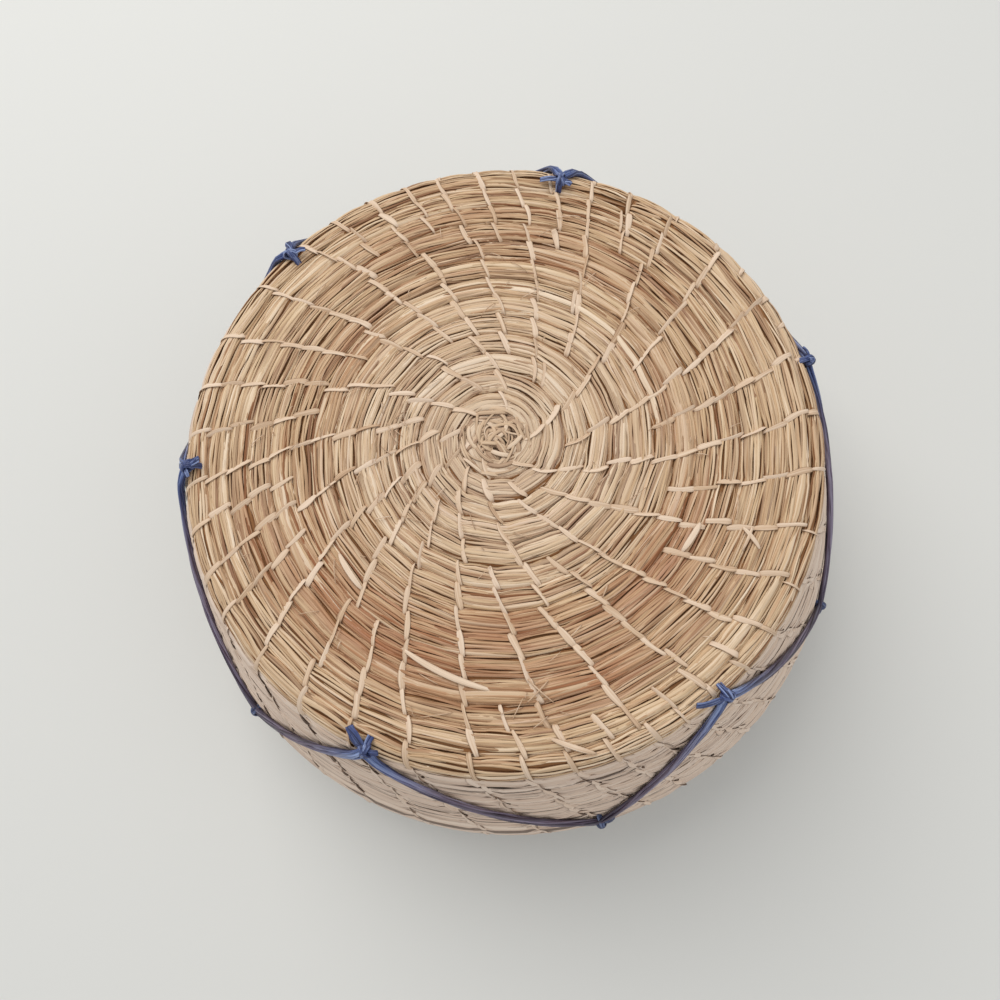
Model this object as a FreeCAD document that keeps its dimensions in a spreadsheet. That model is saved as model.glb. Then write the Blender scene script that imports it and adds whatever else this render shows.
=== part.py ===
"""Tortilla warmer: a hand-coiled palm basket and its lid.

Each half is one bundle of palm strands, wound in a flat spiral from a knotted start and then
down or up a flared wall. Narrow strips stitch every row to the row before it. A twine zigzags
round the lid's wall, tied at the edge of the disc and above the rim.

+Z is up, the origin is at the middle of the foot, and angles go round from the front (-Y)
towards +X. Lengths are in millimetres.
"""
import FreeCAD, Part
import Sketcher
import math
import os
from FreeCAD import Matrix, Placement, Rotation, Vector

SIZES = [
    ("row_diameter", 5.9, "thickness of the bundle of strands"),
    ("stitch_clearance", 0.1, "between the stitches of neighbouring rows"),
    ("eye_radius", 2.75, "room inside the spiral's start, for the start knot"),
    ("edge_radius", 5.0, "bend of the middle line between disc and wall"),
    ("wall_flare", 19.5, "degrees that both walls lean out from upright"),
    ("lid_disc_rows", 13, "turns in the lid's disc"),
    ("lid_wall_rows", 12, "turns in the lid's wall"),
    ("base_floor_rows", 12, "turns in the base's floor"),
    ("base_wall_rows", 9, "turns in the base's wall"),
    ("lid_start_angle", 140, "where the lid's coil begins and ends"),
    ("base_start_angle", 90, "where the base's coil begins and ends"),
    ("foot_flat", 0.5, "depth worn flat under the floor"),
    ("knot_side_step", 2.2, "start knot off the middle, into the eye of the spiral"),
    ("knot_gap", 0.3, "start knot to the first row"),
    ("knot_round", 1.6, "rounding of the start knot"),
    ("seat_gap", 0.3, "lid's wall to the whipping on the base's rim"),
    ("stitch_width", 1.9, "width of a palm strip"),
    ("stitch_thickness", 0.2, "thickness of a palm strip"),
    ("stitch_wrap", 260, "degrees that a stitch goes round its row"),
    ("stitch_lean", 20, "degrees that a stitch leans along the row"),
    ("stitch_drift", 2.2, "degrees that a line of stitches moves on in each row"),
    ("stitch_spacing", 14.6, "stitch to stitch along a row"),
    ("stitch_lines", 39, "lines of stitches at the rim"),
    ("wrap_length", 12.0, "whipping on the coil's tail"),
    ("wrap_thickness", 0.3, "wall of that whipping"),
    ("twine_diameter", 2.6, "the blue twine's bundle of fibres"),
    ("twine_gap", 0.1, "twine to the stitches that it lies on"),
    ("twine_nip", 3.2, "half the width of the twine's bend at a tie"),
    ("twine_end_gap", 0.8, "between the twine's two ends, inside their knot"),
    ("twine_runs", 5, "straight runs in each leg, down the wall"),
    ("twine_bend_run", 3.0, "length of the short runs that take each leg over the disc's edge"),
    ("twine_shoulder", 3.0, "first point of a leg below the end of the edge's bend"),
    ("tie_width", 2.0, "width of a tie's band"),
    ("tie_thickness", 0.4, "thickness of a tie's band"),
    ("top_knot_diameter", 5.2, "knot of a top tie"),
    ("low_knot_diameter", 4.2, "knot of a low tie"),
    ("tail_length", 8.0, "loose ends of a top tie"),
    ("tail_root_diameter", 1.8, "loose end at the knot"),
    ("tail_tip_diameter", 1.1, "loose end at its tip"),
    ("tail_spread", 50, "degrees between a loose end and the tie's band"),
]
TOP_TIE_ANGLES = [29, 93.5, 155.5, 215, 263, 326.5]
LOW_TIE_ANGLES = [58, 124, 185, 239, 300, 364]
GOLDEN_ANGLE = 180 * (3 - math.sqrt(5))
GAP_SAMPLES_PER_TURN = 180
GAP_SAMPLES_BESIDE = 4
HALVINGS = 40
LONGEST_ROW_STEP = 1.5
TANGENT_STEP = 0.002
EYE_TURN = 0.7
EYE_SAMPLES = 60
ARC_SHARE_OF_RUN = 0.45
DEGREE = 1 / 360

doc = FreeCAD.newDocument("tortilla_warmer")
sheet = doc.addObject("Spreadsheet::Sheet", "Sizes")
for line_number, (alias, value, meaning) in enumerate(SIZES, start=1):
    sheet.set(f"A{line_number}", str(value))
    sheet.setAlias(f"A{line_number}", alias)
    sheet.set(f"B{line_number}", meaning)
doc.recompute()


def size(alias):
    """The value of a named size."""
    return float(getattr(sheet, alias))


ROW_RADIUS = size("row_diameter") / 2
BAND_RADIUS = ROW_RADIUS + size("stitch_thickness")
PITCH = 2 * BAND_RADIUS + size("stitch_clearance")
FIRST_ROW_RADIUS = size("eye_radius") + ROW_RADIUS
FLARE = math.radians(size("wall_flare"))


class RowLine:
    """The middle line of one coil: a flat spiral, a bend and a flared wall.

    Its place is counted in turns from the start. climb is +1 where the wall goes up from the
    disc, as on the base, and -1 where it goes down, as on the lid.
    """

    def __init__(self, flat_rows, wall_rows, start_angle, climb):
        self.flat_rows = int(flat_rows)
        self.turns = int(flat_rows + wall_rows)
        self.start_angle = start_angle
        self.climb = climb
        self.flat_end = self.flat_rows * PITCH
        self.bend_angle = math.pi / 2 - FLARE
        self.bend_end = self.flat_end + size("edge_radius") * self.bend_angle
        self.height = 0.0

    def section(self, along):
        """Radius, height and heading of the middle line, at a distance along its section."""
        bend_radius = size("edge_radius")
        flat = min(along, self.flat_end)
        heading = min(max(along - self.flat_end, 0) / bend_radius, self.bend_angle)
        wall = max(along - self.bend_end, 0)
        radius = FIRST_ROW_RADIUS + flat + bend_radius * math.sin(heading)
        rise = bend_radius * (1 - math.cos(heading))
        radius += wall * math.cos(heading)
        rise += wall * math.sin(heading)
        return radius, self.height + self.climb * rise, heading

    def next_row(self, along):
        """The place one row further, a pitch away in a straight line, also round the bend."""
        radius, height, _ = self.section(along)
        low, high = along + PITCH, along + LONGEST_ROW_STEP * PITCH
        for _ in range(HALVINGS):
            middle = (low + high) / 2
            far_radius, far_height, _ = self.section(middle)
            if math.hypot(far_radius - radius, far_height - height) < PITCH:
                low = middle
            else:
                high = middle
        return low

    def along(self, turn):
        """Distance along the section after a number of turns."""
        if turn <= self.flat_rows:
            return PITCH * turn
        rows_past = math.ceil(turn - self.flat_rows)
        distance = PITCH * (turn - rows_past)
        for _ in range(rows_past):
            distance = self.next_row(distance)
        return distance

    def angle(self, turn):
        return self.start_angle + 360 * turn

    def point(self, turn):
        radius, height, _ = self.section(self.along(turn))
        return at_angle(radius, self.angle(turn), height)

    def tangent(self, turn):
        ahead, behind = self.point(turn + TANGENT_STEP), self.point(turn - TANGENT_STEP)
        return (ahead - behind).normalize()

    def outward(self, turn):
        """The direction out of the basket, square to the row."""
        heading = self.section(self.along(turn))[2]
        return at_angle(math.sin(heading), self.angle(turn), -self.climb * math.cos(heading))

    def onward(self, turn):
        """The direction across the rows, away from the start."""
        heading = self.section(self.along(turn))[2]
        return at_angle(math.cos(heading), self.angle(turn), self.climb * math.sin(heading))

    def wall_point(self, along, angle, offset):
        """A point off the wall, by an offset outwards from its middle line."""
        radius, height, heading = self.section(along)
        radius += offset * math.sin(heading)
        height -= self.climb * offset * math.cos(heading)
        return at_angle(radius, angle, height)


def at_angle(radius, degrees, height):
    """A point by its angle from the front, towards +X."""
    angle = math.radians(degrees)
    return Vector(radius * math.sin(angle), -radius * math.cos(angle), height)


def seat_lid(lid, base):
    """Raise the lid until its wall just clears what stands out most on the base's rim.

    That is the whipping, whose straight length bows out from its curved row at both ends, or
    the stitches where these are thicker.
    """
    rim_radius, rim_height, _ = base.section(base.along(base.turns))
    bow = (size("wrap_length") / 2) ** 2 / (2 * rim_radius)
    cover = max(size("wrap_thickness") + bow, size("stitch_thickness"))
    spacing = size("row_diameter") + cover + size("seat_gap")
    seat_radius = rim_radius + spacing / math.cos(FLARE)
    bend_radius, bend_height, _ = lid.section(lid.bend_end)
    drop = (seat_radius - bend_radius) / math.tan(FLARE)
    lid.height = rim_height + drop - bend_height


def round_arc(start, corner, end):
    """The arc that leaves start towards corner and reaches end from it, both equally far."""
    chord_middle = (start + end) / 2
    weight = (end - start).Length / 2 / (corner - start).Length
    top = (chord_middle + corner * weight) / (1 + weight)
    return Part.Arc(start, top, end).toShape()


def biarc(start, start_heading, end, end_heading):
    """Two arcs that join two points and share the given headings."""
    gap = end - start
    headings = start_heading + end_heading
    spread = 2 * (1 - start_heading.dot(end_heading))
    reach = -gap.dot(headings)
    reach = (reach + math.sqrt(gap.dot(headings) ** 2 + spread * gap.dot(gap))) / spread
    first_corner = start + start_heading * reach
    last_corner = end - end_heading * reach
    middle = (first_corner + last_corner) / 2
    return [round_arc(start, first_corner, middle), round_arc(middle, last_corner, end)]


def coil_edges(line, first_turn, last_turn):
    """Arcs along a coil, a biarc for each half turn."""
    edges = []
    for half in range(round(2 * (last_turn - first_turn))):
        turn = first_turn + half / 2
        edges += biarc(line.point(turn), line.tangent(turn),
                       line.point(turn + 0.5), line.tangent(turn + 0.5))
    return edges


def circle_section(centre, heading):
    return Part.Wire(Part.Circle(centre, heading, ROW_RADIUS).toShape())


def flat_foot_section(centre, heading):
    """A row's round section, cut flat underneath."""
    drop = ROW_RADIUS - size("foot_flat")
    side = heading.cross(Vector(0, 0, 1)).normalize() * math.sqrt(ROW_RADIUS ** 2 - drop ** 2)
    left = centre - side - Vector(0, 0, drop)
    right = centre + side - Vector(0, 0, drop)
    over = Part.Arc(left, centre + Vector(0, 0, ROW_RADIUS), right).toShape()
    return Part.Wire([over, Part.LineSegment(right, left).toShape()])


def sweep(edges, section):
    return Part.Wire(edges).makePipeShell([section], True, False)


def least_gap(line, first_turn, last_turn):
    """Least space between the surfaces of neighbouring loops, measured on points."""
    count = round(GAP_SAMPLES_PER_TURN * (last_turn - first_turn))
    samples = []
    for edge in coil_edges(line, first_turn, last_turn):
        samples += edge.discretize(GAP_SAMPLES_PER_TURN // 4 + 1)[:-1]
    least = float("inf")
    for index in range(count - GAP_SAMPLES_PER_TURN - GAP_SAMPLES_BESIDE):
        next_loop = index + GAP_SAMPLES_PER_TURN
        for other in range(next_loop - GAP_SAMPLES_BESIDE, next_loop + GAP_SAMPLES_BESIDE):
            to_segment = samples[index].distanceToLineSegment(samples[other], samples[other + 1])
            least = min(least, to_segment.Length)
    return least - size("row_diameter")


def add_shape(label, shape):
    feature = doc.addObject("Part::Feature", label)
    feature.Label = label
    feature.Shape = shape
    return feature


def stitch_band():
    """One stitch about the origin: an open band round a row that runs along X, open at -Z."""
    half_wrap = math.radians(size("stitch_wrap") / 2)

    def on_band(radius, angle):
        return Vector(0, radius * math.sin(angle), radius * math.cos(angle))

    edges = []
    for radius in (ROW_RADIUS, BAND_RADIUS):
        edges.append(Part.Arc(on_band(radius, -half_wrap), on_band(radius, 0),
                              on_band(radius, half_wrap)).toShape())
    for side in (-half_wrap, half_wrap):
        edges.append(Part.LineSegment(on_band(ROW_RADIUS, side),
                                      on_band(BAND_RADIUS, side)).toShape())
    outline = Part.Wire(Part.sortEdges(edges)[0])
    width = size("stitch_width")
    band = Part.Face(outline).extrude(Vector(width, 0, 0))
    band.translate(Vector(-width / 2, 0, 0))
    return band


def frame_at(origin, forward, facing):
    """A placement with X forward along a row and Z facing a given way."""
    x_axis = forward.normalize()
    y_axis = facing.cross(x_axis).normalize()
    z_axis = x_axis.cross(y_axis)
    return Placement(Matrix(x_axis.x, y_axis.x, z_axis.x, origin.x,
                            x_axis.y, y_axis.y, z_axis.y, origin.y,
                            x_axis.z, y_axis.z, z_axis.z, origin.z, 0, 0, 0, 1))


def stitch_turns(line, first_row, last_row):
    """Turns at which a stitch sits: lines that drift on row by row and fan out with the radius."""
    turns = []
    for row in range(first_row, last_row):
        radius = line.section(line.along(row + 0.5))[0]
        lines = min(size("stitch_lines"), 2 * math.pi * radius // size("stitch_spacing"))
        for number in range(int(lines)):
            angle = number * GOLDEN_ANGLE + row * size("stitch_drift") - line.start_angle
            turns.append(row + angle % 360 / 360)
    return turns


def stitches(line, first_row, last_row):
    """All the stitches of some rows. Each leans on towards the next row.

    Where a row lies on the table its stitches open downwards.
    """
    band = stitch_band()
    bands = []
    for turn in stitch_turns(line, first_row, last_row):
        place = line.point(turn)
        low = line.climb > 0 and place.z < BAND_RADIUS
        facing = Vector(0, 0, 1) if low else line.outward(turn)
        heading = line.tangent(turn)
        onward_is_y = facing.cross(heading).dot(line.onward(turn)) > 0
        lean = -size("stitch_lean") if onward_is_y else size("stitch_lean")
        copy = band.copy()
        copy.rotate(Vector(0, 0, 0), Vector(0, 0, 1), lean)
        copy.Placement = frame_at(place, heading, facing).multiply(copy.Placement)
        bands.append(copy)
    return Part.makeCompound(bands)


def start_knot(label, line, foot_height, height):
    """The knotted start of a coil: a small button in the eye of the spiral, rounded on top."""
    centre = at_angle(size("knot_side_step"), line.angle(EYE_TURN), line.height)
    start_corner = line.point(0) * (1 - ROW_RADIUS / FIRST_ROW_RADIUS)
    start_corner.z = line.height
    first_loop = [line.point(number / EYE_SAMPLES) for number in range(EYE_SAMPLES + 1)]
    reach = min((place - centre).Length for place in first_loop)
    radius = min(reach - ROW_RADIUS, (start_corner - centre).Length) - size("knot_gap")

    body = doc.addObject("PartDesign::Body", label)
    body.Label = label
    plane = next(item for item in body.Origin.OriginFeatures if item.Role == "XY_Plane")
    sketch = body.newObject("Sketcher::SketchObject", label + "_outline")
    sketch.AttachmentSupport = [(plane, "")]
    sketch.MapMode = "FlatFace"
    sketch.addGeometry(Part.Circle(Vector(0, 0, 0), Vector(0, 0, 1), radius), False)
    sketch.addConstraint(Sketcher.Constraint("Coincident", 0, 3, -1, 1))
    sketch.addConstraint(Sketcher.Constraint("Radius", 0, radius))
    pad = body.newObject("PartDesign::Pad", label + "_pad")
    pad.Profile = sketch
    pad.setExpression("Length", f"({height}) * 1 mm")
    doc.recompute()
    edges = pad.Shape.Edges
    rim = max(range(len(edges)), key=lambda number: edges[number].CenterOfMass.z)
    fillet = body.newObject("PartDesign::Fillet", label + "_rounding")
    fillet.Base = (pad, [f"Edge{rim + 1}"])
    fillet.setExpression("Radius", "Sizes.knot_round * 1 mm")
    body.Tip = fillet
    body.Placement = Placement(Vector(centre.x, centre.y, foot_height), Rotation())
    return body


def tail_whipping(label, line):
    """Strip wound round the last stretch of the coil, which holds its cut end together."""
    half_length = size("wrap_length") / 2
    rim_radius = line.section(line.along(line.turns))[0]
    middle_turn = line.turns - half_length / (2 * math.pi * rim_radius)
    heading = line.tangent(middle_turn)
    start = line.point(middle_turn) - heading * half_length
    place = Placement(start, Rotation(Vector(0, 0, 1), heading))
    outside = doc.addObject("Part::Cylinder", label + "_outside")
    outside.setExpression("Radius", "(Sizes.row_diameter / 2 + Sizes.wrap_thickness) * 1 mm")
    inside = doc.addObject("Part::Cylinder", label + "_inside")
    inside.setExpression("Radius", "Sizes.row_diameter / 2 * 1 mm")
    for cylinder in (outside, inside):
        cylinder.setExpression("Height", "Sizes.wrap_length * 1 mm")
        cylinder.Placement = place
    whipping = doc.addObject("Part::Cut", label)
    whipping.Label = label
    whipping.Base = outside
    whipping.Tool = inside
    return whipping


def row_at(line, angle, last_turn):
    """The latest turn, up to a given one, at which the coil passes an angle."""
    return last_turn - (line.angle(last_turn) - angle) % 360 / 360


TWINE_OFFSET = BAND_RADIUS + size("twine_gap") + size("twine_diameter") / 2


def bend_end_turn(line):
    """The turn at which the middle line comes off the bend onto the wall."""
    turn = line.flat_rows
    while line.along(turn) < line.bend_end:
        turn += DEGREE
    return turn


class Tie:
    """A place where the twine is tied to a row."""

    def __init__(self, line, angle, last_turn):
        self.line = line
        self.angle = angle
        self.turn = row_at(line, angle, last_turn)
        self.along = line.along(self.turn)
        self.nip = math.degrees(size("twine_nip") / line.section(self.along)[0])

    def twine_point(self, side):
        return self.line.wall_point(self.along, self.angle + side * self.nip, TWINE_OFFSET)

    def frame(self):
        """On the row's middle line: X along the row, Y back across the rows and Z outwards."""
        facing = self.line.outward(self.turn)
        return frame_at(self.line.point(self.turn), self.line.tangent(self.turn), facing)


def steps(first, last, count):
    """Evenly spaced values from first up to, but without, last."""
    return [first + (last - first) * number / count for number in range(int(count))]


def leg_points(top, low, side):
    """Points of one leg, on the wall's surface, from a top tie down to a low tie."""
    line = top.line
    half_turn = 180
    way_round = (low.angle - top.angle + half_turn) % 360 - half_turn
    top_angle = top.angle + side * top.nip
    low_angle = top.angle + way_round - side * low.nip
    shoulder = line.bend_end + size("twine_shoulder")
    bend_runs = max(1, round((shoulder - top.along) / size("twine_bend_run")))
    alongs = steps(top.along, shoulder, bend_runs)
    alongs += steps(shoulder, low.along, size("twine_runs")) + [low.along]
    points = []
    for along in alongs:
        share = (along - top.along) / (low.along - top.along)
        angle = top_angle + (low_angle - top_angle) * share
        points.append(line.wall_point(along, angle, TWINE_OFFSET))
    return points


def rounded_path(points):
    """Straight runs joined by tangent arcs as large as the shorter run allows, and their radii."""
    edges = []
    radii = []
    last = points[0]
    for before, corner, after in zip(points, points[1:], points[2:]):
        reach = ARC_SHARE_OF_RUN * min((corner - before).Length, (after - corner).Length)
        start = corner + (before - corner).normalize() * reach
        end = corner + (after - corner).normalize() * reach
        edges.append(Part.LineSegment(last, start).toShape())
        edges.append(round_arc(start, corner, end))
        radii.append(edges[-1].Curve.Radius)
        last = end
    edges.append(Part.LineSegment(last, points[-1]).toShape())
    return edges, radii


def zigzag_twine(top_ties, low_ties):
    """One length of twine that goes once round the lid, with both ends in the first knot."""
    first = top_ties[0]
    end_side = size("twine_end_gap") / 2 / size("twine_nip")
    points = [first.twine_point(end_side)]
    for number, (top, low) in enumerate(zip(top_ties, low_ties)):
        following = top_ties[(number + 1) % len(top_ties)]
        points += leg_points(top, low, 1)
        points += reversed(leg_points(following, low, -1))
    points.append(first.twine_point(-end_side))
    edges, radii = rounded_path(points)
    heading = (points[1] - points[0]).normalize()
    section = Part.Wire(Part.Circle(points[0], heading, size("twine_diameter") / 2).toShape())
    twine = sweep(edges, section)
    length = sum(edge.Length for edge in edges)
    share = twine.Volume / (math.pi * (size("twine_diameter") / 2) ** 2 * length)
    print(f"twine: length {length:.0f} mm, least radius {min(radii):.2f} mm, "
          f"volume over section times length {share:.4f}")
    return twine


def tie_band():
    """A closed band round a row and the twine on it, about a row that runs along X."""
    thickness = size("tie_thickness")
    inner = (PITCH - thickness) / 2
    low_centre = inner - ROW_RADIUS
    high_centre = TWINE_OFFSET + size("twine_diameter") / 2 - inner
    faces = []
    for radius in (inner + thickness, inner):
        corners = [Vector(0, side * radius, height)
                   for side, height in ((-1, low_centre), (-1, high_centre),
                                        (1, high_centre), (1, low_centre))]
        top = Part.Arc(corners[1], Vector(0, 0, high_centre + radius), corners[2]).toShape()
        bottom = Part.Arc(corners[3], Vector(0, 0, low_centre - radius), corners[0]).toShape()
        sides = [Part.LineSegment(corners[0], corners[1]).toShape(),
                 Part.LineSegment(corners[2], corners[3]).toShape()]
        faces.append(Part.Face(Part.Wire([sides[0], top, sides[1], bottom])))
    band = faces[0].cut(faces[1]).extrude(Vector(size("tie_width"), 0, 0))
    band.translate(Vector(-size("tie_width") / 2, 0, 0))
    return band


def tie_pieces(label, tie, knot_alias, tail_sides):
    """A band, its knot and the loose ends, fused into one piece of twine and then put in place."""
    on_twine = Placement(Vector(0, 0, TWINE_OFFSET), Rotation())
    band = add_shape(label + "_band", tie_band())
    knot = doc.addObject("Part::Sphere", label + "_knot")
    knot.setExpression("Radius", f"Sizes.{knot_alias} / 2 * 1 mm")
    knot.Placement = on_twine
    pieces = [band, knot]
    spread = math.radians(size("tail_spread"))
    for side in tail_sides:
        tail = doc.addObject("Part::Cone", f"{label}_tail_{len(pieces)}")
        tail.setExpression("Radius1", "Sizes.tail_root_diameter / 2 * 1 mm")
        tail.setExpression("Radius2", "Sizes.tail_tip_diameter / 2 * 1 mm")
        tail.setExpression("Height", "Sizes.tail_length * 1 mm")
        heading = Vector(side * math.sin(spread), math.cos(spread), 0)
        tail.Placement = on_twine.multiply(Placement(Vector(), Rotation(Vector(0, 0, 1), heading)))
        pieces.append(tail)
    fused = doc.addObject("Part::MultiFuse", label)
    fused.Label = label
    fused.Shapes = pieces
    fused.Placement = tie.frame()
    return fused


def coiled_half(name, disc, line):
    """The disc, wall, stitches, knot and whipping of one half of the warmer."""
    joint = line.flat_rows
    nodes = [
        add_shape(f"{name}_{disc}_coil", disc_coil(line)),
        add_shape(f"{name}_wall_coil", wall_coil(line)),
        add_shape(f"{name}_{disc}_stitches", stitches(line, 0, joint)),
        add_shape(f"{name}_wall_stitches", stitches(line, joint, line.turns)),
        tail_whipping(f"{name}_tail_whipping", line),
    ]
    print(f"{name}: least gap between loops {least_gap(line, 0, line.turns):.2f} mm")
    return nodes


def disc_coil(line):
    """The flat spiral. The base's is worn flat underneath, where it stands on the table."""
    edges = coil_edges(line, 0, line.flat_rows)
    if line.climb < 0:
        return sweep(edges, circle_section(line.point(0), line.tangent(0)))
    lowered = Vector(0, 0, -size("foot_flat"))
    foot = sweep(edges, flat_foot_section(line.point(0), line.tangent(0)))
    foot.translate(lowered)
    return foot


def wall_coil(line):
    edges = coil_edges(line, line.flat_rows, line.turns)
    return sweep(edges, circle_section(line.point(line.flat_rows), line.tangent(line.flat_rows)))


def main():
    base = RowLine(size("base_floor_rows"), size("base_wall_rows"), size("base_start_angle"), 1)
    base.height = ROW_RADIUS
    lid = RowLine(size("lid_disc_rows"), size("lid_wall_rows"), size("lid_start_angle"), -1)
    seat_lid(lid, base)

    nodes = coiled_half("base", "floor", base)
    nodes += coiled_half("lid", "disc", lid)
    nodes.append(start_knot("base_start_knot", base, 0, "Sizes.row_diameter - Sizes.foot_flat"))
    under_disc = lid.height - ROW_RADIUS
    nodes.append(start_knot("lid_start_knot", lid, under_disc, "Sizes.row_diameter"))

    edge_turn = bend_end_turn(lid)
    top_ties = [Tie(lid, angle, edge_turn) for angle in TOP_TIE_ANGLES]
    low_ties = [Tie(lid, angle, lid.turns - 1) for angle in LOW_TIE_ANGLES]
    nodes.append(add_shape("zigzag_twine", zigzag_twine(top_ties, low_ties)))
    for number, tie in enumerate(top_ties, start=1):
        nodes.append(tie_pieces(f"top_tie_{number}", tie, "top_knot_diameter", (-1, 1)))
    for number, tie in enumerate(low_ties, start=1):
        nodes.append(tie_pieces(f"low_tie_{number}", tie, "low_knot_diameter", ()))

    doc.recompute()
    for item in doc.Objects:
        if "Invalid" in item.State or "Error" in item.State:
            raise RuntimeError(f"{item.Label} did not build: {item.State}")
    os.makedirs("parts", exist_ok=True)
    for node in nodes:
        shape = node.Shape
        if shape.isNull() or not shape.isValid():
            raise RuntimeError(f"{node.Label} has no valid shape")
        shape.exportStep(f"parts/{node.Label}.step")
        print(f"{node.Label}: {len(shape.Solids)} solids, {shape.Volume / 1000:.2f} cm3")
    foot = base.point(base.flat_rows / 2)
    print(f"a point of the foot: {foot.x:.3f}, {foot.y:.3f}")
    print(f"top of the lid's disc: {lid.height + ROW_RADIUS:.2f}")


main()
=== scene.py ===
# %% [markdown]
# A tortilla warmer is two coiled baskets: a base and a lid that lifts off. Each is one long
# bundle of palm strands, wound row beside row and sewn with narrow strips. The construction is
# already measured elsewhere, so this file only dresses it: every strand, stitch and twist of
# twine is worked out as a surface and laid along the same rows.

# %% Start from the measured model
import math

import bpy
import numpy as np
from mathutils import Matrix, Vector


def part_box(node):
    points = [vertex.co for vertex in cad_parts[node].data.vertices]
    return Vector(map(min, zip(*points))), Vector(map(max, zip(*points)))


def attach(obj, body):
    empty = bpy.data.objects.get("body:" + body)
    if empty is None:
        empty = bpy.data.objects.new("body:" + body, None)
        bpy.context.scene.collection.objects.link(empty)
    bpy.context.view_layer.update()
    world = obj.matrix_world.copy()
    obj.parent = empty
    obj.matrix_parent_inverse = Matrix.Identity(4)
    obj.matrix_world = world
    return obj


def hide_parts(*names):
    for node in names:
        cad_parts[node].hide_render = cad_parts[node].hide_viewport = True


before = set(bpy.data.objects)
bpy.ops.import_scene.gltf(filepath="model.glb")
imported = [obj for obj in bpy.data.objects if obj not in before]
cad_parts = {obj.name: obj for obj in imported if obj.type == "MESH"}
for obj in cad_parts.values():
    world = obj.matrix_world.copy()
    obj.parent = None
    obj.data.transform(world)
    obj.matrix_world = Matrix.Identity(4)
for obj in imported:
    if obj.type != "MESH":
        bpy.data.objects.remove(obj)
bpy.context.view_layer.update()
MM = 0.001

# %% [markdown]
# The rows follow one middle line: a flat spiral, a small bend at the edge of the disc and a
# flared wall. Any place on a basket is then a number of turns from the start, a distance across
# the row and a height off its middle line. All lengths below are in millimetres until a mesh is
# made.

# %% The middle line of a coil
ROW_RADIUS = 2.95
PITCH = 6.4
FIRST_ROW_RADIUS = 5.7
EDGE_RADIUS = 5.0
FLARE = math.radians(19.5)
FOOT_FLAT = 0.5
FOOT_LEVEL = 0.7
FURTHEST_BACK = 4.0
STEPS_PER_TURN = 90
HALVINGS = 30


def at_angle(radius, degrees, height):
    """Points by their angle from the front, towards +X: radius sin, -radius cos, height."""
    angle = np.radians(degrees)
    return np.stack([radius * np.sin(angle), -radius * np.cos(angle), height + 0 * angle], -1)


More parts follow.
